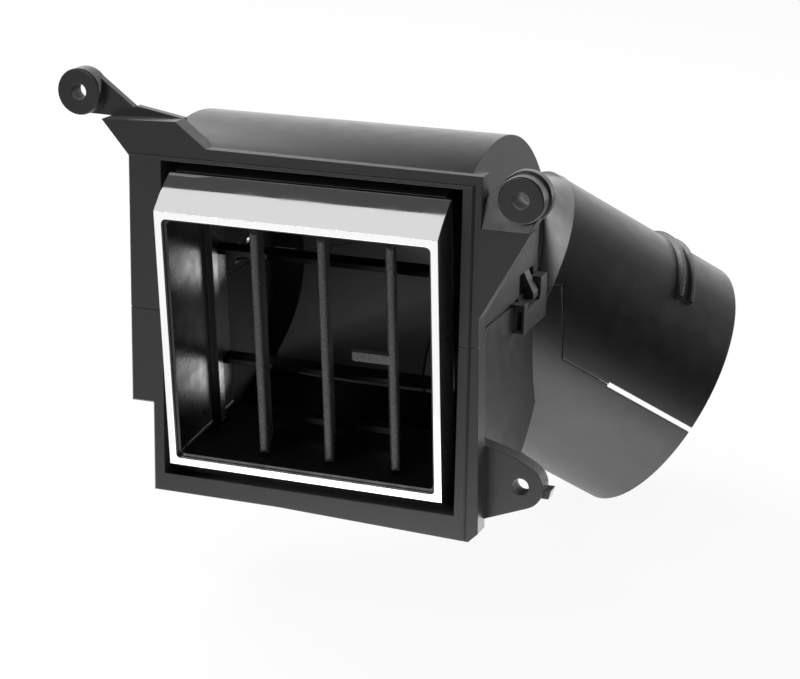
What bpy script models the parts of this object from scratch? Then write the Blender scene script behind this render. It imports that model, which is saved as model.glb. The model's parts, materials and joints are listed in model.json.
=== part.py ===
# Dashboard air vent: a barrel housing in two moulded halves with a hose neck, and a chromed outlet
# that tilts in the barrel and carries three linked vanes. Metres, +Z up, the front faces -Y.
# The origin is the centre of the front opening, in the plane of the front frame.
import math

import bmesh
import bpy
from mathutils import Matrix, Vector

# Sizes shared by the whole vent: a cutter runs past a face by the overrun, a joined form goes in by the sink
gap = 0.0003
wall = 0.0017
overrun = 0.005
sink = 0.001
round_sides = 96
boss_sides = 48
small_sides = 32
pin_sides = 16

# Barrel of the housing, which is round about the tilt axis
pivot_depth = 0.029
barrel_bore_radius = 0.0582
opening_width = 0.096

# Front frame, whose widths are measured outwards from the barrel's end walls
frame_thickness = 0.0065
lip_height = 0.0008
lip_root = 0.0016
lip_edge = 0.0004
frame_left_margin = 0.0094
frame_left_low_margin = 0.0021
frame_step_height = -0.0274
frame_right_margin = 0.0039
frame_right_low_margin = 0.0057
frame_top = 0.054
frame_bottom = -0.0561
frame_bottom_right = -0.0581
frame_bend = -0.010
lip_left_margin = 0.0091
lip_right_margin = 0.0017
lip_top = 0.0513
frame_chamfer = 0.003
left_corner_low = 0.0504
left_corner_inner = 0.0161
left_corner_inner_height = 0.0544
left_corner_middle = 0.0062
left_corner_middle_height = 0.0619
left_corner_outer = 0.0184
left_corner_outer_height = 0.0608
gusset_margin = 0.0187
gusset_high = 0.0385
gusset_low = 0.0114

# Elbow and hose neck
neck_radius = 0.0457
neck_margin = 0.0249
neck_depth = 0.139
neck_height = -0.045
neck_turn = 58.5
neck_droop = 30.5
neck_length = 0.068
neck_sink = 0.003
elbow_depth = 0.076
elbow_high = 0.0365
elbow_low = -0.036
elbow_corner = 0.005
seam_height = 0.003
seam_step = 0.0893
seam_groove_height = 0.0014
seam_groove_depth = 0.0009
seam_groove_front = 0.0135
seam_drop = 0.0031
slot_width = 0.0018
slot_length = 0.034
slot_sink = 0.014
ridge_width = 0.0023
ridge_groove = 0.002
ridge_height = 0.0017
ridge_floor = 0.0003
ridge_slope = 0.0005
ridge_from_mouth = 0.018
ridge_first_angle = 45.0
ridge_last_angle = 135.0

# Fixing ears
screw_hole_radius = 0.0026
left_boss_margin = 0.0273
left_boss_height = 0.068
left_boss_radius = 0.0072
left_boss_front = 0.0023
left_boss_back = 0.0087
boss_shoulder = 0.0003
left_arm_thickness = 0.0027
left_arm_crest = 0.0645
left_arm_inner = 0.0633
left_arm_root = 0.052
right_boss_margin = 0.0158
right_boss_height = 0.0483
right_boss_radius = 0.007
right_boss_front = -0.001
right_boss_back = 0.0083
collar_radius = 0.0078
collar_front = 0.0042
right_web_low = 0.034
right_web_high = 0.0535
right_web_inner = 0.043
right_web_width = 0.0108
web_slope_depth = 0.0052
ear_margin = 0.0167
ear_height = -0.0404
ear_front = 0.006
ear_back = 0.012
ear_lobe_radius = 0.0070
ear_high = -0.0274
ear_shoulder = -0.0317
ear_shoulder_width = 0.0152
ear_low = -0.0535
ear_low_width = 0.0055
ear_fin_reach = 0.0022
ear_fin_height = 0.0032
ear_root = 0.0012

# Catches on the side walls: a notched plate on the lower half, and a tongue in a window of the upper half
catch_front = 0.047
catch_length = 0.0243
catch_low = -0.0056
catch_shelf = 0.0037
catch_horn_height = 0.0088
catch_horn_length = 0.0068
catch_thickness = 0.0035
catch_notch_front = 0.004
catch_notch_back = 0.0165
catch_notch_floor = 0.0018
pocket_rim = 0.0008
pocket_depth = 0.005
pocket_low = -0.0044
pocket_high = 0.0016
window_front = 0.0532
window_length = 0.015
window_low = 0.0048
window_height = 0.0067
tongue_front = 0.0585
tongue_length = 0.0050
tongue_low = 0.0028
tongue_bulge = 0.0032

# Outlet that tilts
outlet_tilt = 6.5
outlet_clearance = 0.0025
rim_forward = 0.0371
rim_side_clearance = 0.0032
rim_bar = 0.0022
rim_corner = 0.0016
bezel_wall = 0.0014
bezel_end_angle = 64.0
outlet_back = 0.004
body_wall = 0.0018
airway_inset = 0.001
pocket_rib_place = 0.011
pocket_rib_width = 0.0015
upper_bar_height = 0.017
lower_bar_height = -0.0203
bar_thickness = 0.0017
bar_depth = 0.0068
side_rib_place = -0.010
side_rib_depth = 0.0035
side_rib_width = 0.0022
trunnion_radius = 0.004
trunnion_clearance = 0.0003
trunnion_boss_height = 0.0026
trunnion_boss_radius = 0.0085
washer_radius = 0.0078
felt_angle = 88.0
felt_spread = 9.0
felt_clearance = 0.0004

# Vanes and their tie bar
vane_pitch = 0.02165
vane_turn = 21.0
vane_pivot_behind_rim = 0.023
vane_front_length = 0.019
vane_back_length = 0.009
vane_front_thickness = 0.0027
vane_pivot_thickness = 0.0034
vane_pivot_flat = 0.001
vane_back_thickness = 0.0014
vane_end_gap = 0.0006
vane_corner = 0.006
vane_pin_radius = 0.0015
vane_pin_clearance = 0.0003
vane_pin_length = 0.0020
crank_length = 0.0066
crank_radius = 0.0012
crank_notch_front = 0.0018
crank_notch_height = 0.0074
link_thickness = 0.002
link_half_width = 0.0023
link_hole_clearance = 0.0003
link_drop = 0.0025
snap_head_radius = 0.0018
snap_head_height = 0.0008
tab_length = 0.0118
tab_thickness = 0.0026
tab_height = 0.0029
tab_level = 0.0002

# Values that follow from the sizes above
barrel_radius = barrel_bore_radius + wall
half_opening = opening_width / 2
half_barrel = half_opening + wall
frame_left = -half_barrel - frame_left_margin
frame_left_low = -half_barrel - frame_left_low_margin
frame_right = half_barrel + frame_right_margin
frame_right_low = half_barrel + frame_right_low_margin
lip_left = -half_barrel - lip_left_margin
lip_right = half_barrel + lip_right_margin
left_boss_centre = (-half_barrel - left_boss_margin, left_boss_height)
right_boss_centre = (half_barrel + right_boss_margin, right_boss_height)
low_ear_centre = (half_barrel + ear_margin, ear_height)
neck_centre = (half_barrel + neck_margin, neck_depth, neck_height)
root = half_barrel - wall / 2
pivot = Vector((0, pivot_depth, 0))
outlet_radius = barrel_bore_radius - outlet_clearance
half_rim = half_opening - rim_side_clearance
rim_half_height = math.sqrt(outlet_radius ** 2 - rim_forward ** 2)
half_body = half_rim - bezel_wall - gap
body_front = rim_forward - bezel_wall - gap
seat_radius = outlet_radius - bezel_wall - gap
half_airway = half_rim - rim_bar - airway_inset
airway_half_height = rim_half_height - rim_bar - airway_inset
vane_half_height = airway_half_height - vane_end_gap

turn = math.radians(neck_turn)
droop = math.radians(neck_droop)
neck_along = Vector((math.sin(turn) * math.cos(droop), math.cos(turn) * math.cos(droop), -math.sin(droop)))
neck_across = Vector((math.cos(turn), -math.sin(turn), 0))
neck_rise = neck_across.cross(neck_along)
neck_mouth = Vector(neck_centre)


def clear_scene():
    for thing in list(bpy.data.objects):
        bpy.data.objects.remove(thing, do_unlink=True)


def new_collection(name):
    made = bpy.data.collections.new(name)
    bpy.context.scene.collection.children.link(made)
    return made


def new_material(name, colour, roughness, metallic=0.0):
    made = bpy.data.materials.new(name)
    made.use_nodes = True
    shader = made.node_tree.nodes["Principled BSDF"]
    shader.inputs["Base Color"].default_value = (*colour, 1)
    shader.inputs["Roughness"].default_value = roughness
    shader.inputs["Metallic"].default_value = metallic
    return made


clear_scene()
parts = new_collection("dashboard_air_vent")
cutters = new_collection("cutters")
cutters.hide_render = True


def add_object(name, mesh, parent=None):
    """A shape under its joint's empty, whose origin is the axis that the piece turns on."""
    mesh.name = name
    thing = bpy.data.objects.new(name, mesh)
    parts.objects.link(thing)
    thing.parent = parent
    return thing


def from_bmesh(name, shape, parent=None):
    bmesh.ops.recalc_face_normals(shape, faces=shape.faces)
    mesh = bpy.data.meshes.new(name)
    shape.to_mesh(mesh)
    shape.free()
    return add_object(name, mesh, parent)


def rod(name, radius, start, end, parent=None, sides=round_sides):
    shape = bmesh.new()
    start = Vector(start)
    end = Vector(end)
    aim = Vector((0, 0, 1)).rotation_difference(end - start).to_matrix().to_4x4()
    place = Matrix.Translation((start + end) / 2) @ aim
    bmesh.ops.create_cone(shape, cap_ends=True, segments=sides, radius1=radius, radius2=radius,
                          depth=(end - start).length, matrix=place)
    return from_bmesh(name, shape, parent)


def block(name, low, high, parent=None, frame=None):
    low = Vector(low)
    high = Vector(high)
    place = Matrix.Translation((low + high) / 2) @ Matrix.Diagonal((*(high - low), 1))
    if frame is not None:
        place = frame @ place
    shape = bmesh.new()
    bmesh.ops.create_cube(shape, size=1, matrix=place)
    return from_bmesh(name, shape, parent)


def plate(name, outline, thickness, frame, parent=None):
    """A flat outline in the frame's own X and Y, as thick as stated along its Z."""
    curve = bpy.data.curves.new(name, "CURVE")
    curve.dimensions = "2D"
    curve.fill_mode = "BOTH"
    curve.extrude = thickness / 2
    spline = curve.splines.new("POLY")
    spline.points.add(len(outline) - 1)
    for point, (across, up) in zip(spline.points, outline):
        point.co = (across, up, 0, 1)
    spline.use_cyclic_u = True
    flat = bpy.data.objects.new(name + "_outline", curve)
    bpy.context.scene.collection.objects.link(flat)
    mesh = bpy.data.meshes.new_from_object(flat.evaluated_get(bpy.context.evaluated_depsgraph_get()))
    bpy.data.objects.remove(flat)
    shape = bmesh.new()
    shape.from_mesh(mesh)
    bpy.data.meshes.remove(mesh)
    bmesh.ops.remove_doubles(shape, verts=shape.verts, dist=0.000001)
    bmesh.ops.transform(shape, matrix=frame @ Matrix.Translation((0, 0, thickness / 2)), verts=shape.verts)
    return from_bmesh(name, shape, parent)


def basis(x_axis, y_axis, z_axis, origin=(0, 0, 0)):
    turned = Matrix((x_axis, y_axis, z_axis)).transposed().to_4x4()
    return Matrix.Translation(origin) @ turned


def front_plate(name, outline, front, back, parent=None):
    """An outline in X and Z that reaches from front to back along Y."""
    frame = basis((1, 0, 0), (0, 0, 1), (0, -1, 0), (0, back, 0))
    return plate(name, outline, back - front, frame, parent)


def side_plate(name, outline, left, right, parent=None):
    """An outline in Y and Z that reaches from left to right along X."""
    frame = basis((0, 1, 0), (0, 0, 1), (1, 0, 0), (left, 0, 0))
    return plate(name, outline, right - left, frame, parent)


def level_plate(name, outline, low, high, parent=None):
    """An outline in X and Y that reaches from low to high along Z."""
    return plate(name, outline, high - low, Matrix.Translation((0, 0, low)), parent)


def cut(target, *tools):
    for tool in tools:
        use_tool(target, tool, "DIFFERENCE")


def join(target, *tools):
    for tool in tools:
        use_tool(target, tool, "UNION")


def keep(target, tool):
    use_tool(target, tool, "INTERSECT")


def use_tool(target, tool, operation):
    step = target.modifiers.new(operation.lower() + "_" + tool.name, "BOOLEAN")
    step.operation = operation
    step.solver = "EXACT"
    step.object = tool
    if tool.name in parts.objects:
        parts.objects.unlink(tool)
        cutters.objects.link(tool)
    tool.hide_render = True
    tool.display_type = "WIRE"


def finished_mesh(thing):
    bpy.context.view_layer.update()
    graph = bpy.context.evaluated_depsgraph_get()
    return bpy.data.meshes.new_from_object(thing.evaluated_get(graph))


def finish(thing, material, sharp=30):
    mesh = thing.data
    mesh.materials.clear()
    mesh.materials.append(material)
    mesh.shade_smooth()
    mesh.set_sharp_from_angle(angle=math.radians(sharp))


def soften(thing, width, segments=2, angle=30):
    edge = thing.modifiers.new("rounded_edges", "BEVEL")
    edge.width = width
    edge.segments = segments
    edge.limit_method = "ANGLE"
    edge.angle_limit = math.radians(angle)


def arc(centre, radius, first, last, count):
    """Points on an arc, from the first angle to the last, in degrees."""
    points = []
    for step in range(count + 1):
        angle = math.radians(first + (last - first) * step / count)
        points.append((centre[0] + radius * math.cos(angle), centre[1] + radius * math.sin(angle)))
    return points


def rounded_box(left, right, low, high, radius, count=4):
    return (arc((right - radius, high - radius), radius, 0, 90, count)
            + arc((left + radius, high - radius), radius, 90, 180, count)
            + arc((left + radius, low + radius), radius, 180, 270, count)
            + arc((right - radius, low + radius), radius, 270, 360, count))


def capsule(start, end, radius, count=8):
    aim = math.degrees(math.atan2(end[1] - start[1], end[0] - start[0]))
    return arc(end, radius, aim - 90, aim + 90, count) + arc(start, radius, aim + 90, aim + 270, count)


def eye_outline(centre, radius, points):
    """The outline of a plate that ends in a round eye: the hull of the circle and the other points."""
    every = [Vector(point) for point in arc(centre, radius, 0, 360 - 10, 35)]
    every += [Vector(point) for point in points]
    order = [Vector(point) for point in sorted({(round(p.x, 7), round(p.y, 7)) for p in every})]

    def half(run):
        chain = []
        for point in run:
            while len(chain) > 1 and (chain[-1] - chain[-2]).cross(point - chain[-2]) <= 0:
                chain.pop()
            chain.append(point)
        return chain[:-1]

    return [tuple(point) for point in half(order) + half(order[::-1])]


def neck_frame(back_from_mouth):
    origin = neck_mouth - neck_along * back_from_mouth
    return basis(neck_across, -neck_rise, neck_along, origin)


def neck_section(radius, back_from_mouth):
    middle = neck_mouth - neck_along * back_from_mouth
    points = []
    for side in range(round_sides):
        angle = math.tau * side / round_sides
        points.append(middle + neck_across * radius * math.cos(angle) + neck_rise * radius * math.sin(angle))
    return points


def elbow_section(inset, depth):
    outline = rounded_box(-half_barrel + inset, half_barrel - inset, elbow_low + inset, elbow_high - inset,
                          elbow_corner - inset, count=8)
    return [Vector((across, depth, up)) for across, up in outline]


def make_elbow(name, inset, depth):
    """The elbow is the skin over the barrel's section and the neck's."""
    shape = bmesh.new()
    circle = neck_section(neck_radius + gap - inset, neck_length)
    for point in elbow_section(inset, depth) + circle:
        shape.verts.new(point)
    bmesh.ops.convex_hull(shape, input=shape.verts)
    loose = [vert for vert in shape.verts if not vert.link_faces]
    bmesh.ops.delete(shape, geom=loose, context="VERTS")
    return from_bmesh(name, shape)


def make_neck(name, inset, overrun):
    """The neck runs straight, from inside the elbow to its mouth."""
    inner_end = neck_mouth - neck_along * (neck_length + neck_sink)
    return rod(name, neck_radius - inset, inner_end, neck_mouth + neck_along * overrun)


def make_housing_shell():
    """Barrel, elbow and neck as one hollow body, with the front frame and ears, before it is split."""
    shell = rod("barrel", barrel_radius, (-half_barrel, pivot_depth, 0), (half_barrel, pivot_depth, 0))
    join(shell, make_elbow("elbow", 0, elbow_depth), make_neck("neck", 0, 0), make_ridges())

    reach = barrel_radius * 2
    cut(shell, block("front_trim", (-reach, -reach, -reach), (reach, frame_thickness / 2, reach)))
    join(shell, make_front_frame(), make_front_lip())
    join(shell, make_left_arm(), make_left_boss())
    join(shell, make_right_web(), make_right_boss(), make_low_ear())

    bore = rod("barrel_bore", barrel_bore_radius, (-half_opening, pivot_depth, 0),
               (half_opening, pivot_depth, 0))
    elbow_bore = make_elbow("elbow_bore", wall, elbow_depth - overrun)
    cut(shell, bore, elbow_bore, make_neck("neck_bore", wall, overrun))

    for side in (-1, 1):
        inner = side * (half_opening - trunnion_boss_height)
        outer = side * (half_opening + wall / 2)
        boss = rod("trunnion_boss", trunnion_boss_radius, (inner, pivot_depth, 0), (outer, pivot_depth, 0),
                   sides=small_sides)
        socket = rod("trunnion_socket", trunnion_radius + trunnion_clearance,
                     (side * (half_opening - trunnion_boss_height * 2), pivot_depth, 0),
                     (side * (half_opening - gap), pivot_depth, 0), sides=small_sides)
        join(shell, boss)
        cut(shell, socket)

    for centre, front, back in ((left_boss_centre, left_boss_front, left_boss_back),
                                (right_boss_centre, right_boss_front, right_boss_back),
                                (low_ear_centre, ear_front, ear_back)):
        cut(shell, rod("screw_hole", screw_hole_radius, (centre[0], front - overrun, centre[1]),
                       (centre[0], back + overrun, centre[1]), sides=small_sides))

    slot = block("neck_slot", (neck_radius - slot_sink, seam_drop - slot_width / 2, -slot_length),
                 (neck_radius + overrun, seam_drop + slot_width / 2, overrun), frame=neck_frame(0))
    cut(shell, slot)
    return shell


def make_ridges():
    """Two part rings on one shallow band, on the upper side of the neck, which a hose clip sits behind."""
    root = neck_radius - wall / 2
    crest = neck_radius + ridge_height
    floor = neck_radius + ridge_floor
    second = ridge_width + ridge_groove
    profile = [(root, 0), (crest, ridge_slope), (crest, ridge_width - ridge_slope), (floor, ridge_width),
               (floor, second), (crest, second + ridge_slope), (crest, second + ridge_width - ridge_slope),
               (root, second + ridge_width)]
    shape = bmesh.new()
    corners = [shape.verts.new((radius, 0, -ridge_from_mouth - back)) for radius, back in profile]
    face = shape.faces.new(corners)
    spread = math.radians(ridge_last_angle - ridge_first_angle)
    start = Matrix.Rotation(-math.radians(ridge_first_angle), 4, "Z")
    bmesh.ops.transform(shape, matrix=start, verts=shape.verts)
    bmesh.ops.spin(shape, geom=[face, *face.edges, *face.verts], cent=(0, 0, 0), axis=(0, 0, -1),
                   angle=spread, steps=30)
    bmesh.ops.transform(shape, matrix=neck_frame(0), verts=shape.verts)
    return from_bmesh("hose_ridges", shape)


def make_front_frame():
    gusset_right = half_barrel + gusset_margin
    outline = [(frame_left, left_corner_low), (frame_left, frame_step_height),
               (frame_left_low, frame_step_height), (frame_left_low, frame_bottom),
               (frame_bend, frame_bottom),
               (frame_right_low - frame_chamfer, frame_bottom_right),
               (frame_right_low, frame_bottom_right + frame_chamfer),
               (frame_right, gusset_low), (gusset_right, gusset_high), (frame_right, gusset_high),
               (frame_right, frame_top), (-half_barrel + left_corner_inner, left_corner_inner_height),
               (-half_barrel + left_corner_middle, left_corner_middle_height),
               (-half_barrel - left_corner_outer, left_corner_outer_height)]
    return front_plate("front_frame", outline, 0, frame_thickness)


def make_front_lip():
    outline = [(lip_left, lip_top), (lip_left, frame_step_height + gap),
               (frame_left_low + gap, frame_step_height + gap), (frame_left_low + gap, frame_bottom + gap),
               (frame_bend, frame_bottom + gap), (lip_right, frame_bottom_right + gap),
               (lip_right, lip_top)]
    lip = front_plate("front_lip", outline, -lip_height, lip_root)
    soften(lip, lip_edge, 1)
    return lip


def make_left_arm():
    back = left_boss_back - boss_shoulder
    corner = -half_barrel - left_corner_outer
    tail = [(frame_left, left_arm_crest), (-half_barrel + left_corner_middle, left_corner_middle_height),
            (-half_barrel + left_corner_middle, left_arm_root), (frame_left, left_arm_root),
            (corner, left_corner_outer_height)]
    outline = eye_outline(left_boss_centre, left_boss_radius - boss_shoulder,
                          [(frame_left, left_arm_inner), (frame_left, left_corner_outer_height)])
    arm = front_plate("left_arm", outline, back - left_arm_thickness, back)
    join(arm, front_plate("left_arm_tail", tail, back - left_arm_thickness, back))
    return arm


def make_left_boss():
    x, z = left_boss_centre
    boss = rod("left_boss", left_boss_radius, (x, left_boss_front, z), (x, left_boss_back, z),
               sides=boss_sides)
    soften(boss, 0.0005)
    return boss


def make_right_web():
    """The web between the frame and the boss, with a face that slopes back from the gusset."""
    x, z = right_boss_centre
    web_back = right_boss_back - boss_shoulder
    outline = eye_outline(right_boss_centre, right_boss_radius - boss_shoulder,
                          [(root, right_web_low), (root, right_web_inner),
                           (half_barrel + right_web_width, right_web_high), (x, right_web_low)])
    web = front_plate("right_web", outline, gap, web_back)
    top = z + collar_radius
    slope = [(-frame_thickness, gusset_high), (gap, gusset_high), (web_slope_depth, top),
             (-frame_thickness, top)]
    cut(web, side_plate("web_slope", slope, root, x + collar_radius * 2))
    return web


def make_right_boss():
    x, z = right_boss_centre
    boss = rod("right_boss", right_boss_radius, (x, right_boss_front, z), (x, right_boss_back, z),
               sides=boss_sides)
    soften(boss, 0.0005)
    collar = rod("right_collar", collar_radius, (x, collar_front, z), (x, right_boss_back - gap * 2, z),
                 sides=boss_sides)
    soften(collar, 0.0004)
    join(boss, collar)
    return boss


def make_low_ear():
    """A flat ear with a round lobe and a small fin at its end."""
    x, z = low_ear_centre
    outline = eye_outline(low_ear_centre, ear_lobe_radius,
                          [(root, ear_high), (half_barrel + ear_shoulder_width, ear_shoulder),
                           (root, ear_low), (half_barrel + ear_low_width, ear_low + ear_root)])
    ear = front_plate("low_ear", outline, ear_front, ear_back)
    tip = x + ear_lobe_radius + ear_fin_reach
    fin = [(x, z - ear_fin_height), (x, z - gap), (tip, z - gap),
           (tip - ear_fin_reach / 3, z - ear_fin_height)]
    join(ear, front_plate("low_ear_fin", fin, ear_front + ear_root, ear_back - gap))
    return ear


def seam_region(name, above):
    """All space above or below the seam: level on the barrel, stepped down, then along the sloping neck."""
    half = gap / 2 if above else -gap / 2
    sideways = Vector((neck_along.x, neck_along.y, 0)).normalized()
    slope = -neck_along.z / neck_along.to_2d().length
    drop = seam_drop / neck_rise.z
    mouth = neck_mouth.dot(sideways)
    far = 0.4

    def axis_height(s):
        return neck_mouth.z + (mouth - s) * slope - drop

    edge = seam_step + half
    line = [(-far, seam_height + half), (edge, seam_height + half), (edge, axis_height(edge) + half),
            (far, axis_height(far) + half)]
    end = far if above else -far
    outline = line + [(far, end), (-far, end)]
    frame = basis(sideways, (0, 0, 1), neck_across, -far / 2 * neck_across)
    return plate(name, outline, far, frame)


def mirrored(side, first, second):
    """The two places in order along X, on the left side or on the right."""
    return sorted((side * first, side * second))


def wall_block(name, side, inner, outer, front, back, low, high):
    """A block in the side wall, from one distance off the middle plane to another."""
    left, right = mirrored(side, inner, outer)
    return block(name, (left, front, low), (right, back, high))


def add_catch_plates(half):
    """Plates on the lower half, outside the wall of the upper one, with a notch and a horn behind it."""
    inner = half_barrel + gap
    outer = inner + catch_thickness
    back = catch_front + catch_length
    root_top = seam_height - gap / 2 - gap
    horn_front = back - catch_horn_length
    notch_front = catch_front + catch_notch_front
    face = [(catch_front, catch_low), (back, catch_low), (back, catch_horn_height),
            (horn_front, catch_horn_height), (horn_front, catch_shelf),
            (catch_front + catch_notch_back, catch_notch_floor), (notch_front, catch_notch_floor),
            (notch_front, catch_shelf), (catch_front, catch_shelf)]
    for side in (-1, 1):
        section = [(root, catch_low), (outer, catch_low), (outer, catch_horn_height),
                   (inner, catch_horn_height), (inner, root_top), (root, root_top)]
        plate_piece = front_plate("catch_plate", [(side * x, z) for x, z in section], catch_front, back)
        left, right = mirrored(side, root - gap, outer + gap)
        keep(plate_piece, side_plate("catch_face", face, left, right))
        if side > 0:
            far = neck_mouth - neck_along * (neck_length * 2)
            room = rod("neck_room", neck_radius + gap, far, neck_mouth)
            keep(room, block("above_seam", (0, 0, root_top), (outer * 2, back * 2, catch_horn_height * 2)))
            cut(plate_piece, room, rod("neck_core", neck_radius - wall / 2, far, neck_mouth))
        cut(plate_piece, wall_block("catch_pocket", side, inner + pocket_rim, outer - pocket_rim,
                                    catch_front - gap, catch_front + pocket_depth, pocket_low, pocket_high))
        join(half, plate_piece)


def add_tongues(half):
    """Windows in the upper half's side walls, each with a sprung tongue that hooks into the notch."""
    back = window_front + window_length
    top = window_low + window_height
    for side in (-1, 1):
        cut(half, wall_block("window", side, half_opening - wall, half_barrel + wall, window_front, back,
                             window_low, top))
        tip = half_barrel + tongue_bulge
        inner = half_opening + wall / 4
        foot = window_low + gap * 3
        outline = [(inner, top + wall), (root, top + wall), (half_barrel + gap * 2, top - wall),
                   (tip, window_low), (tip, tongue_low), (half_barrel + gap, tongue_low),
                   (half_barrel + gap, foot), (inner, foot)]
        tongue = front_plate("tongue", [(side * x, z) for x, z in outline], tongue_front,
                             tongue_front + tongue_length)
        join(half, tongue)
        groove_top = seam_height + seam_groove_height
        cut(half, wall_block("seam_groove", side, half_barrel - seam_groove_depth, half_barrel + wall,
                             seam_groove_front, window_front - gap * 2, -seam_height, groove_top))


def make_housing(plastic):
    shell = make_housing_shell()
    shell.hide_render = True
    shell.display_type = "WIRE"
    parts.objects.unlink(shell)
    cutters.objects.link(shell)
    shell_mesh = finished_mesh(shell)
    for name, above in (("upper_housing", True), ("lower_housing", False)):
        half = add_object(name, shell_mesh.copy())
        keep(half, seam_region(name + "_side", above))
        if above:
            add_tongues(half)
        else:
            add_catch_plates(half)
            for side in (-1, 1):
                reach = trunnion_radius + trunnion_clearance
                inner = side * (half_opening - trunnion_boss_height * 2)
                outer = side * (half_opening - gap)
                cut(half, block("trunnion_way", (min(inner, outer), pivot_depth - reach, 0),
                                (max(inner, outer), pivot_depth + reach, seam_height * 2)))
        finish(half, plastic)


def outlet_profile(front_radius, front, back):
    """Side outline of the outlet in Y and Z: flat front, curved skins and a flat back."""
    top_front = math.sqrt(front_radius ** 2 - front ** 2)
    first = math.degrees(math.atan2(top_front, front))
    last = math.degrees(math.acos(-back / front_radius))
    upper = [(-front_radius * math.cos(math.radians(angle)), front_radius * math.sin(math.radians(angle)))
             for angle in [first + (last - first) * step / 16 for step in range(17)]]
    lower = [(y, -z) for y, z in reversed(upper)]
    return upper + lower


def make_bezel(outlet, chrome):
    end_back = -outlet_radius * math.cos(math.radians(bezel_end_angle))
    profile = outlet_profile(outlet_radius, rim_forward, end_back)
    outer = side_plate("chrome_bezel", profile, -half_rim, half_rim, outlet)
    soften(outer, 0.0006, 3)
    inner_outline = outlet_profile(outlet_radius - bezel_wall, rim_forward - bezel_wall, end_back + overrun)
    hollow = side_plate("bezel_hollow", inner_outline, -half_rim + bezel_wall, half_rim - bezel_wall, outlet)
    mouth_outline = rounded_box(-half_rim + rim_bar, half_rim - rim_bar, -rim_half_height + rim_bar,
                                rim_half_height - rim_bar, rim_corner)
    mouth = front_plate("bezel_mouth", mouth_outline, -rim_forward - overrun, -rim_forward + overrun, outlet)
    cut(outer, hollow, mouth)
    finish(outer, chrome)
    return outer


def make_outlet_body(outlet, plastic):
    front_part = side_plate("nozzle_body", outlet_profile(seat_radius, body_front, outlet_back), -half_body,
                            half_body, outlet)
    skin_front = -outlet_radius * math.cos(math.radians(bezel_end_angle)) + gap
    skin_outline = outlet_profile(outlet_radius, -skin_front, outlet_back)
    skins = side_plate("skins", skin_outline, -half_body, half_body, outlet)
    join(front_part, skins)

    airway = rounded_box(-half_airway, half_airway, -airway_half_height, airway_half_height, rim_corner)
    cut(front_part, front_plate("airway", airway, -rim_forward - overrun, outlet_back + overrun, outlet))

    bays = ((-half_body + body_wall, -pocket_rib_place - pocket_rib_width / 2),
            (-pocket_rib_place + pocket_rib_width / 2, pocket_rib_place - pocket_rib_width / 2),
            (pocket_rib_place + pocket_rib_width / 2, half_body - body_wall))
    pocket_radius = seat_radius - body_wall
    floor = airway_half_height + body_wall
    pocket_front = math.sqrt(pocket_radius ** 2 - floor ** 2) - gap
    pocket_length = pocket_front + outlet_back + overrun
    for above in (1, -1):
        outline = [(-pocket_front, floor)]
        for step in range(9):
            y = -pocket_front + pocket_length * step / 8
            outline.append((y, math.sqrt(pocket_radius ** 2 - y ** 2)))
        outline.append((outlet_back + overrun, floor))
        outline = [(y, above * z) for y, z in outline]
        for left, right in bays:
            cut(front_part, side_plate("skin_pocket", outline, left, right, outlet))

    for level in (lower_bar_height, upper_bar_height):
        bar = block("crossbar",
                    (-half_airway - body_wall / 2, outlet_back - bar_depth, level - bar_thickness / 2),
                    (half_airway + body_wall / 2, outlet_back - gap, level + bar_thickness / 2), outlet)
        join(front_part, bar)
    for side in (-1, 1):
        left, right = mirrored(side, half_airway - side_rib_width, half_airway + body_wall / 2)
        rib_height = airway_half_height + body_wall / 2
        join(front_part, block("side_rib", (left, side_rib_place, -rib_height),
                               (right, side_rib_place + side_rib_depth, rib_height), outlet))

    for side in (-1, 1):
        join(front_part, rod("trunnion", trunnion_radius, (side * (half_body - body_wall / 2), 0, 0),
                             (side * (half_opening - gap * 2), 0, 0), outlet, small_sides))

    for x in vane_places():
        y = vane_pivot_behind_rim - rim_forward
        hole = vane_pin_radius + vane_pin_clearance
        for above in (1, -1):
            cut(front_part, rod("vane_hole", hole, (x, y, above * (airway_half_height - sink)),
                                (x, y, above * (airway_half_height + body_wall + sink)), outlet, pin_sides))
    finish(front_part, plastic)
    return front_part


def vane_places():
    return (-vane_pitch, 0, vane_pitch)


def make_washers(outlet, rubber):
    for side, name in ((-1, "friction_washer_left"), (1, "friction_washer_right")):
        inner = side * (half_body + gap)
        outer = side * (half_opening - trunnion_boss_height - gap)
        ring = rod(name, washer_radius, (inner, 0, 0), (outer, 0, 0), outlet, small_sides)
        hole = rod(name + "_hole", trunnion_radius + gap, (inner - side * sink, 0, 0),
                   (outer + side * sink, 0, 0), outlet, small_sides)
        cut(ring, hole)
        finish(ring, rubber)


def make_felts(outlet, felt):
    outer = barrel_bore_radius - felt_clearance
    inner = outlet_radius + gap
    for above, name in ((1, "upper_felt_strip"), (-1, "lower_felt_strip")):
        first = 180 - felt_angle - felt_spread / 2
        last = first + felt_spread
        run = arc((0, 0), outer, first, last, 6) + arc((0, 0), inner, last, first, 6)
        strip = side_plate(name, [(y, above * z) for y, z in run], -half_body + gap, half_body - gap, outlet)
        finish(strip, felt)


def vane_outline():
    """Section of a vane in its own X and Y, with a round front edge and a thin back edge."""
    nose = vane_front_thickness / 2
    front = arc((0, -vane_front_length + nose), nose, 180, 360, 8)
    right = [(vane_pivot_thickness / 2, -vane_pivot_flat), (vane_pivot_thickness / 2, vane_pivot_flat),
             (vane_back_thickness / 2, vane_back_length)]
    left = [(-vane_back_thickness / 2, vane_back_length), (-vane_pivot_thickness / 2, vane_pivot_flat),
            (-vane_pivot_thickness / 2, -vane_pivot_flat)]
    return front + right + left


def link_top():
    return -vane_half_height + crank_notch_height - link_drop


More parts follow.
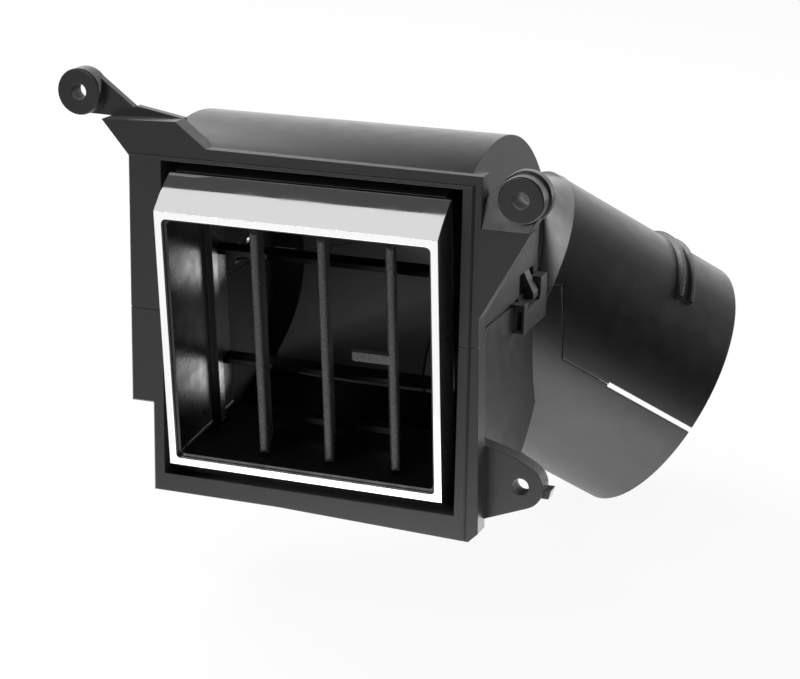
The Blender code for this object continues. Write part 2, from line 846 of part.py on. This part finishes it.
def make_vane(name, pivot_empty, plastic, with_tab=False):
    vane = level_plate(name, vane_outline(), -vane_half_height, vane_half_height, pivot_empty)
    side = rounded_box(-vane_front_length - sink, vane_back_length + vane_corner, -vane_half_height,
                       vane_half_height, vane_corner, 6)
    keep(vane, side_plate("vane_side", side, -overrun, overrun, pivot_empty))
    notch_top = -vane_half_height + crank_notch_height
    cut(vane, block("crank_notch", (-overrun, crank_notch_front, -vane_half_height - overrun),
                    (overrun, vane_back_length + overrun, notch_top), pivot_empty))
    for above in (1, -1):
        join(vane, rod("vane_pin", vane_pin_radius, (0, 0, above * (vane_half_height - sink)),
                       (0, 0, above * (vane_half_height + vane_pin_length)), pivot_empty, pin_sides))
    head_top = link_top() - link_thickness - gap
    join(vane, rod("crank_pin", crank_radius, (0, crank_length, notch_top + sink),
                   (0, crank_length, head_top - snap_head_height / 2), pivot_empty, pin_sides),
         rod("snap_head", snap_head_radius, (0, crank_length, head_top),
             (0, crank_length, head_top - snap_head_height), pivot_empty, pin_sides))
    if with_tab:
        aim = Matrix.Rotation(math.radians(-vane_turn), 2)
        tip = aim @ Vector((-tab_length, 0))
        middle = Vector((0, -vane_front_length + vane_front_thickness / 2))
        tab = level_plate("finger_tab", capsule(middle, middle + tip, tab_thickness / 2),
                          tab_level - tab_height / 2, tab_level + tab_height / 2, pivot_empty)
        soften(tab, 0.0005)
        join(vane, tab)
    finish(vane, plastic)
    return vane


def make_link(link_empty, plastic):
    top = link_top()
    low = top - link_thickness
    outline = capsule((-vane_pitch, 0), (vane_pitch, 0), link_half_width)
    bar = level_plate("vane_link", outline, low, top, link_empty)
    for x in vane_places():
        hole = rod("link_hole", crank_radius + link_hole_clearance, (x, 0, low - sink), (x, 0, top + sink),
                   link_empty, pin_sides)
        cut(bar, hole)
    finish(bar, plastic)


def empty(name, place, turn_axis=None, angle=0.0, parent=None):
    made = bpy.data.objects.new(name, None)
    parts.objects.link(made)
    made.location = place
    if turn_axis is not None:
        made.rotation_euler[turn_axis] = math.radians(angle)
    made.parent = parent
    return made


def main():
    housing_plastic = new_material("housing_black", (0.035, 0.036, 0.038), 0.38)
    outlet_plastic = new_material("outlet_black", (0.02, 0.02, 0.021), 0.35)
    vane_plastic = new_material("vane_black", (0.06, 0.06, 0.062), 0.55)
    chrome = new_material("chrome", (0.82, 0.82, 0.84), 0.06, 1.0)
    rubber = new_material("washer_rubber", (0.015, 0.015, 0.015), 0.8)
    felt = new_material("felt", (0.02, 0.02, 0.02), 0.95)

    make_housing(housing_plastic)

    outlet = empty("outlet_axis", pivot, 0, outlet_tilt)
    bpy.context.view_layer.update()
    make_bezel(outlet, chrome)
    make_outlet_body(outlet, outlet_plastic)
    make_washers(outlet, rubber)
    make_felts(outlet, felt)

    vane_y = vane_pivot_behind_rim - rim_forward
    for name, x in zip(("vane_left", "vane_middle", "vane_right"), vane_places()):
        axis = empty(name + "_axis", (x, vane_y, 0), 2, vane_turn, outlet)
        make_vane(name, axis, vane_plastic, name == "vane_right")
    swing = math.radians(vane_turn)
    link_place = (-crank_length * math.sin(swing), vane_y + crank_length * math.cos(swing), 0)
    link_axis = empty("vane_link_axis", link_place, parent=outlet)
    make_link(link_axis, outlet_plastic)


main()
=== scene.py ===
import bpy
import json
import math
from mathutils import Matrix, Vector, noise


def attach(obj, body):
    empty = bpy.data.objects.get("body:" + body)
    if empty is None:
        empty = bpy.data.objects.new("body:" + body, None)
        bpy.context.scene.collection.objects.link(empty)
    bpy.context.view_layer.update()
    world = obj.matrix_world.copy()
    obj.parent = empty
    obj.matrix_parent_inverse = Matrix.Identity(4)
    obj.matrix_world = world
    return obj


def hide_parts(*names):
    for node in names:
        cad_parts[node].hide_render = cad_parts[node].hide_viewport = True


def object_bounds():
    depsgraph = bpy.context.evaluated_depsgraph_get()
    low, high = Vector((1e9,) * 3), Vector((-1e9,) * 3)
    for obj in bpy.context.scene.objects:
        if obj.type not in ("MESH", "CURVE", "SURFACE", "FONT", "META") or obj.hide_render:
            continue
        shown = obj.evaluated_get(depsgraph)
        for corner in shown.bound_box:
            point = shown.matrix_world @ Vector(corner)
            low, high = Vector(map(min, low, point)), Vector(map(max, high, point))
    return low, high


# Looks of a dashboard air vent: finishes, shading, felt, floor, light and camera.
# Metres, +Z up, air leaves along -Y.

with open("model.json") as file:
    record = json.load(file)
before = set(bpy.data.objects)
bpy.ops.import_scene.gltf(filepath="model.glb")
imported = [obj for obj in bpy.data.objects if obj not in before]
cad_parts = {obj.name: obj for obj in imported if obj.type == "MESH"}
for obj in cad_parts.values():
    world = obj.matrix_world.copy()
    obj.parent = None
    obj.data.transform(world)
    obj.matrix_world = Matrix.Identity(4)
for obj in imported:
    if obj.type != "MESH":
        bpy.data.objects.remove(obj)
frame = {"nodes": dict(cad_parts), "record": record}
nodes = frame["nodes"]
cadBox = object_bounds()

mm = 0.001


# Small helpers for node trees

def newMaterial(name, look):
    material = bpy.data.materials.new(name)
    material.use_nodes = True
    shader = material.node_tree.nodes["Principled BSDF"]
    shader.inputs["Base Color"].default_value = (*look["colour"], 1)
    shader.inputs["Roughness"].default_value = look["roughness"]
    shader.inputs["Metallic"].default_value = look.get("metallic", 0)
    shader.inputs["Specular IOR Level"].default_value = look.get("specular", 0.5)
    return material, material.node_tree, shader


def addNode(tree, kind, **values):
    # a value goes to the socket of its name, or else to the node's own setting
    node = tree.nodes.new(kind)
    for name, value in values.items():
        if name in node.inputs:
            node.inputs[name].default_value = value
        else:
            setattr(node, name, value)
    return node


def objectPlace(tree):
    return tree.nodes.new("ShaderNodeTexCoord").outputs["Object"]


def noiseField(tree, place, scale, detail, roughness=0.5):
    field = addNode(tree, "ShaderNodeTexNoise", Scale=scale, Detail=detail, Roughness=roughness)
    tree.links.new(place, field.inputs["Vector"])
    return field.outputs["Fac"]


def spread(tree, field, low, high, start=0.3, end=0.7):
    # low where the field is at start, high where it is at end
    node = tree.nodes.new("ShaderNodeMapRange")
    node.inputs["From Min"].default_value = start
    node.inputs["From Max"].default_value = end
    node.inputs["To Min"].default_value = low
    node.inputs["To Max"].default_value = high
    tree.links.new(field, node.inputs["Value"])
    return node.outputs["Result"]


def mixColour(tree, field, dark, light):
    node = tree.nodes.new("ShaderNodeMix")
    node.data_type = "RGBA"
    node.inputs["A"].default_value = (*dark, 1)
    node.inputs["B"].default_value = (*light, 1)
    tree.links.new(field, node.inputs["Factor"])
    return node.outputs["Result"]


def fadeTo(tree, share, field, end, kind="FLOAT"):
    # the field itself where the share is 0, the fixed end where it is 1
    node = tree.nodes.new("ShaderNodeMix")
    node.data_type = kind
    node.inputs["B"].default_value = end
    tree.links.new(share, node.inputs["Factor"])
    tree.links.new(field, node.inputs["A"])
    return node.outputs["Result"]


def combine(tree, operation, first, second):
    node = addNode(tree, "ShaderNodeMath", operation=operation)
    tree.links.new(first, node.inputs[0])
    tree.links.new(second, node.inputs[1])
    return node.outputs["Value"]


def mixShaders(tree, share, first, second):
    node = tree.nodes.new("ShaderNodeMixShader")
    tree.links.new(share, node.inputs["Fac"])
    tree.links.new(first, node.inputs[1])
    tree.links.new(second, node.inputs[2])
    return node.outputs["Shader"]


def addBump(tree, height, distance, strength, under=None):
    node = tree.nodes.new("ShaderNodeBump")
    node.inputs["Distance"].default_value = distance
    node.inputs["Strength"].default_value = strength
    tree.links.new(height, node.inputs["Height"])
    if under is not None:
        tree.links.new(under, node.inputs["Normal"])
    return node.outputs["Normal"]


bevelSamples = 6


def roundedEdges(tree, radius):
    # the small radius of a moulded edge, as a bent normal
    bevel = addNode(tree, "ShaderNodeBevel", samples=bevelSamples, Radius=radius)
    return bevel.outputs["Normal"]


# What the housing, outlet and washers share: clouds of colour, patches of gloss, waves and grain

moulding = {
    "cloudScale": 60,
    "glossScale": 190,
    "waveStrength": 0.6,
    "grainStrength": 0.5,
}

# The housing is black satin plastic: fine grain, slightly uneven gloss

housingPlastic = {
    "colour": (0.008, 0.0083, 0.0086),
    "paleColour": (0.013, 0.0135, 0.014),
    "roughness": 0.33,
    "roughest": 0.42,
    "specular": 0.5,
    "bloom": 0.38,  # pale haze where light grazes the skin
    "bloomRoughness": 0.3,
    "occludedRoughness": 0.75,
    "paintedShadeDivisor": 3,  # painted shade: the colour in closed-in places is divided by this
    "occlusionReach": 100 * mm,
    "occlusionSamples": 8,
    "occlusionEdge": (0.2, 0.42),  # how open a place is: fully matt with painted shade, no longer either
    "grainScale": 2600,
    "grainHeight": 0.02 * mm,
    "waveScale": 28,
    "waveHeight": 0.06 * mm,
    "edgeRadius": 0.35 * mm,
}

# The outlet's airway has a coarser, glossier grain

outletPlastic = {
    "colour": (0.005, 0.005, 0.0055),
    "paleColour": (0.010, 0.010, 0.0105),
    "roughness": 0.26,
    "roughest": 0.40,
    "specular": 0.5,
    "grainScale": 1500,
    "grainHeight": 0.09 * mm,
    "waveScale": 60,
    "waveHeight": 0.05 * mm,
    "edgeRadius": 0.25 * mm,
}

# The friction washers are dull rubber

washerRubber = {
    "colour": (0.012, 0.012, 0.012),
    "paleColour": (0.020, 0.020, 0.020),
    "roughness": 0.6,
    "roughest": 0.75,
    "specular": 0.4,
    "grainScale": 3000,
    "grainHeight": 0.03 * mm,
    "waveScale": 200,
    "waveHeight": 0.02 * mm,
    "edgeRadius": 0.2 * mm,
}


def mattWithPaintedShade(tree, roughness, colour, look):
    # places closed in by the housing, inside the barrel and neck and in grooves, are made matt, and their
    # colour is darkened as painted shade
    openness = addNode(tree, "ShaderNodeAmbientOcclusion", Distance=look["occlusionReach"])
    openness.samples = look["occlusionSamples"]
    within = spread(tree, openness.outputs["AO"], 1, 0, *look["occlusionEdge"])
    matt = fadeTo(tree, within, roughness, look["occludedRoughness"])
    # painted shade: a darker colour where the place is closed in
    paintedShadeColour = (*[value / look["paintedShadeDivisor"] for value in look["colour"]], 1)
    dull = fadeTo(tree, within, colour, paintedShadeColour, "RGBA")
    return matt, dull


def mouldedPlastic(name, look):
    material, tree, shader = newMaterial(name, look)
    place = objectPlace(tree)
    clouds = noiseField(tree, place, moulding["cloudScale"], detail=3)
    colour = mixColour(tree, clouds, look["colour"], look["paleColour"])
    gloss = noiseField(tree, place, moulding["glossScale"], detail=4)
    roughness = spread(tree, gloss, look["roughness"], look["roughest"])
    if "bloom" in look:
        shader.inputs["Sheen Weight"].default_value = look["bloom"]
        shader.inputs["Sheen Roughness"].default_value = look["bloomRoughness"]
    if "occlusionReach" in look:
        # matt roughness and painted shade in closed-in places
        roughness, colour = mattWithPaintedShade(tree, roughness, colour, look)
    tree.links.new(colour, shader.inputs["Base Color"])
    tree.links.new(roughness, shader.inputs["Roughness"])
    wave = noiseField(tree, place, look["waveScale"], detail=1)
    rounded = roundedEdges(tree, look["edgeRadius"])
    waved = addBump(tree, wave, look["waveHeight"], moulding["waveStrength"], rounded)
    grain = noiseField(tree, place, look["grainScale"], detail=2)
    grained = addBump(tree, grain, look["grainHeight"], moulding["grainStrength"], waved)
    tree.links.new(grained, shader.inputs["Normal"])
    return material


# The vanes are greyer, with a spark-eroded speckle

vanePlastic = {
    "colour": (0.022, 0.022, 0.023),
    "speckle": (0.120, 0.120, 0.122),
    "roughness": 0.50,
    "specular": 0.5,
    "speckleScale": 2300,
    "speckleEdge": (0.45, 0.68),
    "grainHeight": 0.10 * mm,
    "grainStrength": 0.6,
    "edgeRadius": 0.3 * mm,
}


def vaneFinish(name, look):
    material, tree, shader = newMaterial(name, look)
    specks = noiseField(tree, objectPlace(tree), look["speckleScale"], detail=2, roughness=0.6)
    shown = spread(tree, specks, 0, 1, *look["speckleEdge"])
    tree.links.new(mixColour(tree, shown, look["colour"], look["speckle"]), shader.inputs["Base Color"])
    rounded = roundedEdges(tree, look["edgeRadius"])
    grained = addBump(tree, specks, look["grainHeight"], look["grainStrength"], rounded)
    tree.links.new(grained, shader.inputs["Normal"])
    return material


# Plated rim of the outlet: hazy in patches, gently rippled by the moulding under it

chromePlating = {
    "colour": (0.86, 0.86, 0.87),
    "roughness": 0.045,
    "roughest": 0.11,
    "metallic": 1,
    "hazeScale": 120,
    "hazeEdge": (0.4, 0.8),
    "rippleScale": 30,
    "rippleHeight": 0.35 * mm,
    "rippleStrength": 0.5,
    "edgeRadius": 0.3 * mm,
}


def chromeFinish(name, look):
    material, tree, shader = newMaterial(name, look)
    place = objectPlace(tree)
    haze = noiseField(tree, place, look["hazeScale"], detail=4)
    roughness = spread(tree, haze, look["roughness"], look["roughest"], *look["hazeEdge"])
    tree.links.new(roughness, shader.inputs["Roughness"])
    ripple = noiseField(tree, place, look["rippleScale"], detail=1)
    rounded = roundedEdges(tree, look["edgeRadius"])
    rippled = addBump(tree, ripple, look["rippleHeight"], look["rippleStrength"], rounded)
    tree.links.new(rippled, shader.inputs["Normal"])
    return material


# Felt of short black fibres that lie across the vent

feltCloth = {
    "colour": (0.012, 0.012, 0.013),
    "fibre": (0.045, 0.045, 0.047),
    "roughness": 0.95,
    "specular": 0.2,
    "sheen": 0.35,
    "sheenRoughness": 0.6,
    "fibreScale": 1800,
    "fibreStretch": (0.25, 1, 1),
    "fibreHeight": 0.25 * mm,
    "fibreStrength": 0.7,
}


def feltFinish(name, look):
    material, tree, shader = newMaterial(name, look)
    shader.inputs["Sheen Weight"].default_value = look["sheen"]
    shader.inputs["Sheen Roughness"].default_value = look["sheenRoughness"]
    stretched = addNode(tree, "ShaderNodeMapping", Scale=look["fibreStretch"])
    tree.links.new(objectPlace(tree), stretched.inputs["Vector"])
    fibres = noiseField(tree, stretched.outputs["Vector"], look["fibreScale"], detail=3, roughness=0.65)
    tree.links.new(mixColour(tree, fibres, look["colour"], look["fibre"]), shader.inputs["Base Color"])
    tufted = addBump(tree, fibres, look["fibreHeight"], look["fibreStrength"])
    tree.links.new(tufted, shader.inputs["Normal"])
    return material


print("finishes")
finishes = {
    "housing_plastic": mouldedPlastic("housingPlastic", housingPlastic),
    "outlet_plastic": mouldedPlastic("outletPlastic", outletPlastic),
    "vane_plastic": vaneFinish("vanePlastic", vanePlastic),
    "chrome": chromeFinish("chromePlating", chromePlating),
    "washer_rubber": mouldedPlastic("washerRubber", washerRubber),
    "felt": feltFinish("feltCloth", feltCloth),
}
slotOf = {part["node"]: part["material_slot"] for part in frame["record"]["subparts"]}


def coat(piece, finish):
    piece.data.materials.clear()
    piece.data.materials.append(finish)


for name, node in nodes.items():
    coat(node, finishes[slotOf[name]])


# Shading of the solids: faces that lie flat together are joined, shallow edges are smooth

shading = {
    "weldDistance": 0.005 * mm,
    "flatAngle": 0.4,  # degrees, as the two below
    "housingSharp": 14,
    "otherSharp": 32,
}


def smoothGroup(name, sharpAngle):
    group = bpy.data.node_groups.new(name, "GeometryNodeTree")
    group.interface.new_socket("Geometry", in_out="INPUT", socket_type="NodeSocketGeometry")
    group.interface.new_socket("Geometry", in_out="OUTPUT", socket_type="NodeSocketGeometry")
    start = group.nodes.new("NodeGroupInput")
    end = group.nodes.new("NodeGroupOutput")
    faces = group.nodes.new("GeometryNodeSetShadeSmooth")
    sharp = group.nodes.new("GeometryNodeSetShadeSmooth")
    sharp.domain = "EDGE"
    sharp.inputs["Shade Smooth"].default_value = False
    angle = group.nodes.new("GeometryNodeInputMeshEdgeAngle")
    steep = group.nodes.new("FunctionNodeCompare")
    steep.operation = "GREATER_THAN"
    steep.inputs["B"].default_value = math.radians(sharpAngle)
    group.links.new(angle.outputs["Unsigned Angle"], steep.inputs["A"])
    group.links.new(start.outputs["Geometry"], faces.inputs["Geometry"])
    group.links.new(faces.outputs["Geometry"], sharp.inputs["Geometry"])
    group.links.new(steep.outputs["Result"], sharp.inputs["Selection"])
    group.links.new(sharp.outputs["Geometry"], end.inputs["Geometry"])
    return group


housingSmooth = smoothGroup("housingSmooth", shading["housingSharp"])
otherSmooth = smoothGroup("otherSmooth", shading["otherSharp"])


def shadeSolid(piece, smoothing):
    weld = piece.modifiers.new("weld", "WELD")
    weld.merge_threshold = shading["weldDistance"]
    joined = piece.modifiers.new("joinFlat", "DECIMATE")
    joined.decimate_type = "DISSOLVE"
    joined.angle_limit = math.radians(shading["flatAngle"])
    smooth = piece.modifiers.new("smooth", "NODES")
    smooth.node_group = smoothing
    level = piece.modifiers.new("level", "WEIGHTED_NORMAL")
    level.keep_sharp = True


print("shading")
for name, node in nodes.items():
    shadeSolid(node, housingSmooth if slotOf[name] == "housing_plastic" else otherSmooth)


# Felt on the outlet's skins: soft edges, and a face that sinks between its tufts

feltStrip = {
    "voxel": 0.45 * mm,
    "smoothing": 6,
    "tuftSize": 1.3 * mm,
    "tuftHeight": 0.35 * mm,
    "tuftTop": 0.1,  # noise above this stays at full height
    "tuftSoftness": 0.6,
    "tuftStep": 2.0,  # each finer layer of noise is this much smaller
    "tuftLayers": 3,
    "fill": 0.8,
}


def tuftNoise(point):
    place = point / feltStrip["tuftSize"]
    return noise.fractal(place, feltStrip["tuftSoftness"], feltStrip["tuftStep"], feltStrip["tuftLayers"])


def makeFelt(name, node):
    piece = bpy.data.objects.new(name, node.data.copy())
    bpy.context.scene.collection.objects.link(piece)
    felted = piece.modifiers.new("felted", "REMESH")
    felted.mode = "VOXEL"
    felted.voxel_size = feltStrip["voxel"]
    soft = piece.modifiers.new("soft", "SMOOTH")
    soft.iterations = feltStrip["smoothing"]
    shaped = piece.evaluated_get(bpy.context.evaluated_depsgraph_get())
    mesh = bpy.data.meshes.new_from_object(shaped)
    piece.modifiers.clear()
    piece.data = mesh
    for vertex in mesh.vertices:
        sink = min(0, tuftNoise(vertex.co) - feltStrip["tuftTop"])
        vertex.co += vertex.normal * feltStrip["tuftHeight"] * sink
    mesh.shade_smooth()
    coat(piece, finishes["felt"])
    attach(piece, "outlet")
    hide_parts(node.name)


print("felt")
makeFelt("upperFelt", nodes["upper_felt_strip"])
makeFelt("lowerFelt", nodes["lower_felt_strip"])


# The floor is white to the camera; to reflections it is a light table with two bright pools

paleFloor = {
    "size": 6,
    "colour": (0.86, 0.86, 0.86),
    "roughness": 0.9,
    "specular": 0,
    "mottleScale": 3,
    "mottleDepth": 0.01,
    "shadowShare": 0.13,  # how much of the lit floor the camera sees
    "lift": 0.91,  # the even white over the rest
    "tableGlow": 0.3,
    "poolUnder": {"centre": (0.035, 0.065, 0), "glow": 2.9, "radius": 0.07, "fade": 0.11},
    "poolAhead": {"centre": (-0.10, -0.27, 0), "glow": 0.8, "radius": 0.22, "fade": 0.25},
}


def lightPool(tree, place, pool):
    # full glow within the radius, none past the fade
    shifted = addNode(tree, "ShaderNodeVectorMath", operation="SUBTRACT")
    shifted.inputs[1].default_value = pool["centre"]
    tree.links.new(place, shifted.inputs[0])
    away = addNode(tree, "ShaderNodeVectorMath", operation="LENGTH")
    tree.links.new(shifted.outputs["Vector"], away.inputs[0])
    edge = (pool["radius"], pool["radius"] + pool["fade"])
    return spread(tree, away.outputs["Value"], pool["glow"], 0, *edge)


def makeFloor(low):
    bpy.ops.mesh.primitive_plane_add(size=paleFloor["size"], location=(0, 0, low))
    floor = bpy.context.object
    floor.name = "floor"
    material, tree, shader = newMaterial("paleFloor", paleFloor)
    lit = shader.outputs["BSDF"]
    place = objectPlace(tree)
    mottle = noiseField(tree, place, paleFloor["mottleScale"], detail=2)
    dark = tuple(value - paleFloor["mottleDepth"] for value in paleFloor["colour"])
    tree.links.new(mixColour(tree, mottle, dark, paleFloor["colour"]), shader.inputs["Base Color"])
    # the camera sees an even white with a faint share of the vent's shadow
    white = addNode(tree, "ShaderNodeEmission", Strength=paleFloor["lift"] / (1 - paleFloor["shadowShare"]))
    seen = addNode(tree, "ShaderNodeMixShader", Fac=paleFloor["shadowShare"])
    tree.links.new(white.outputs["Emission"], seen.inputs[1])
    tree.links.new(lit, seen.inputs[2])
    # reflections see the table
    under = lightPool(tree, place, paleFloor["poolUnder"])
    ahead = lightPool(tree, place, paleFloor["poolAhead"])
    glow = addNode(tree, "ShaderNodeMath", operation="ADD")
    glow.inputs[1].default_value = paleFloor["tableGlow"]
    tree.links.new(combine(tree, "ADD", under, ahead), glow.inputs[0])
    table = tree.nodes.new("ShaderNodeEmission")
    tree.links.new(glow.outputs["Value"], table.inputs["Strength"])
    rays = tree.nodes.new("ShaderNodeLightPath")
    mirrored = mixShaders(tree, rays.outputs["Is Glossy Ray"], lit, table.outputs["Emission"])
    whole = mixShaders(tree, rays.outputs["Is Camera Ray"], mirrored, seen.outputs["Shader"])
    tree.links.new(whole, tree.nodes["Material Output"].inputs["Surface"])
    coat(floor, material)


# The world is white to the camera; it lights the vent from behind, and less from the right, front and top

tent = {
    "front": 0.10,
    "back": 1.3,
    "backEdge": (-0.1, 0.45),  # where it grows from front to back, by the direction's Y
    "right": 0.3,
    "rightEdge": (0.3, 0.65),  # by its X
    "overhead": 0.07,
    "overheadEdge": (0.5, 0.8),  # by its Z
}


def makeWorld():
    world = bpy.data.worlds.new("tentLight")
    bpy.context.scene.world = world
    world.use_nodes = True
    tree = world.node_tree
    background = tree.nodes["Background"]
    background.inputs["Color"].default_value = (1, 1, 1, 1)
    direction = tree.nodes.new("ShaderNodeSeparateXYZ")
    tree.links.new(tree.nodes.new("ShaderNodeTexCoord").outputs["Generated"], direction.inputs["Vector"])
    behind = spread(tree, direction.outputs["Y"], tent["front"], tent["back"], *tent["backEdge"])
    beside = spread(tree, direction.outputs["X"], 1, tent["right"], *tent["rightEdge"])
    above = spread(tree, direction.outputs["Z"], 0, 1, *tent["overheadEdge"])
    walls = combine(tree, "MULTIPLY", behind, beside)
    level = fadeTo(tree, above, walls, tent["overhead"])
    rays = tree.nodes.new("ShaderNodeLightPath")
    strength = fadeTo(tree, rays.outputs["Is Camera Ray"], level, 1)
    tree.links.new(strength, background.inputs["Strength"])


# Four soft panels; all but the top one face the middle of the vent

middle = (0.015, 0.06, -0.01)
panels = {
    "topPanel": {"place": (0, -0.40, 1.05), "target": (0, -0.40, 0), "size": (1.6, 0.7), "power": 2.6},
    "leftPanel": {"place": (-0.95, 0.65, 0.80), "target": middle, "size": (0.8, 0.6), "power": 12},
    "frontPanel": {"place": (-0.43, -1.1, 0.43), "target": middle, "size": (0.5, 0.4), "power": 4},
    "rightPanel": {"place": (0.96, 0.72, 0.12), "target": middle, "size": (0.7, 0.36), "power": 6},
}


def addLamp(data, place, away):
    # away points from what the lamp lights to the lamp
    lamp = bpy.data.objects.new(data.name, data)
    bpy.context.scene.collection.objects.link(lamp)
    lamp.location = place
    lamp.rotation_euler = away.to_track_quat("Z", "Y").to_euler()
    return lamp


def softPanel(name, panel):
    data = bpy.data.lights.new(name, "AREA")
    data.shape = "RECTANGLE"
    data.size, data.size_y = panel["size"]
    data.energy = panel["power"]
    addLamp(data, panel["place"], Vector(panel["place"]) - Vector(panel["target"]))


print("floor and light")
makeFloor(cadBox[0].z)
makeWorld()
for name, panel in panels.items():
    softPanel(name, panel)


# Light that comes up the hose neck and glints on the airway's left wall, above and below a crossbar

glint = {
    "power": 0.010,
    "cone": 22,
    "softness": 0.6,
    "radius": 6 * mm,
    "reach": 45 * mm,
    "direction": (0.412, 0.870, -0.272),
    "places": ((-0.0416, 0.0127, 0.0158), (-0.0416, 0.0143, -0.0223)),
}


def neckGlint(place):
    data = bpy.data.lights.new("neckGlint", "SPOT")
    data.energy = glint["power"]
    data.spot_size = math.radians(glint["cone"])
    data.spot_blend = glint["softness"]
    data.shadow_soft_size = glint["radius"]
    away = Vector(glint["direction"]).normalized()
    lamp = addLamp(data, Vector(place) + away * glint["reach"], away)
    lamp.visible_camera = False


for place in glint["places"]:
    neckGlint(place)


# Camera at the photograph's angle

shot = {
    "target": (0.02947, 0, 0.00271),
    "azimuth": 19.91,
    "elevation": 16.48,
    "roll": 1.11,
    "distance": 0.64287,
    "focalPixels": 2172.34,
    "imageWidth": 800,
    "sensor": 36,
    "nearest": 0.01,
}


def makeCamera():
    data = bpy.data.cameras.new("camera")
    camera = bpy.data.objects.new("camera", data)
    bpy.context.scene.collection.objects.link(camera)
    data.sensor_width = shot["sensor"]
    data.sensor_fit = "HORIZONTAL"
    data.lens = shot["focalPixels"] * shot["sensor"] / shot["imageWidth"]
    data.clip_start = shot["nearest"]
    turn = math.radians(shot["azimuth"])
    rise = math.radians(shot["elevation"])
    roll = math.radians(shot["roll"])
    ahead = Vector((-math.sin(turn) * math.cos(rise), math.cos(turn) * math.cos(rise), -math.sin(rise)))
    level = Vector((math.cos(turn), math.sin(turn), 0))
    upright = level.cross(ahead)
    right = math.cos(roll) * level + math.sin(roll) * upright
    up = math.cos(roll) * upright - math.sin(roll) * level
    camera.matrix_world = Matrix((right, up, -ahead)).transposed().to_4x4()
    camera.location = Vector(shot["target"]) - ahead * shot["distance"]
    bpy.context.scene.camera = camera


print("camera")
makeCamera()
bpy.context.scene.view_settings.view_transform = "Standard"
